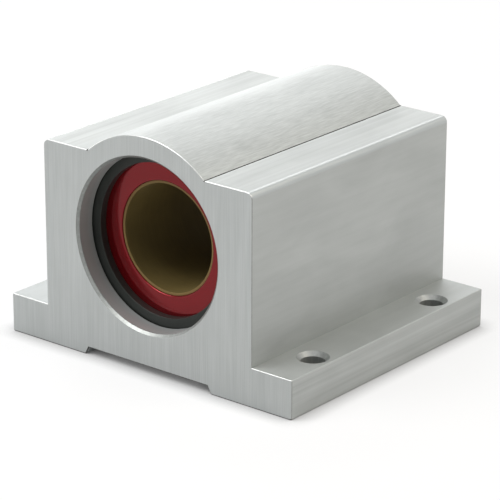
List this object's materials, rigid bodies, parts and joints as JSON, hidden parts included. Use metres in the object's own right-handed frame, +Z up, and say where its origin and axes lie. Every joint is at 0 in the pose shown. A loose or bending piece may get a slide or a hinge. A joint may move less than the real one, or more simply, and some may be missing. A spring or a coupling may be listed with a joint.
{
  "type": "linear bearing block",
  "caption": "Closed pillow block with a crowned top, drilled side flanges and a lined plain bearing held in its bore by split retaining rings, to guide a round shaft.",
  "frame": {"origin": "middle of the mounting face, between the two feet", "axes": "+Z up from the mounting face, +Y along the shaft, +X across the block through the flanges"},
  "size_m": [0.0826, 0.0714, 0.0556],
  "materials": {
    "housing_aluminium": "brushed, satin, clear",
    "shell_red_anodised": "red anodised, glossy",
    "liner": "smooth, olive gold, bonded low-friction liner",
    "ring_steel": "black phosphate spring steel"
  },
  "bodies": {
    "root": {"housing": "housing_aluminium", "bearing_shell": "shell_red_anodised", "bearing_liner": "liner", "front_retaining_ring": "ring_steel", "rear_retaining_ring": "ring_steel"}
  },
  "joints": []
}
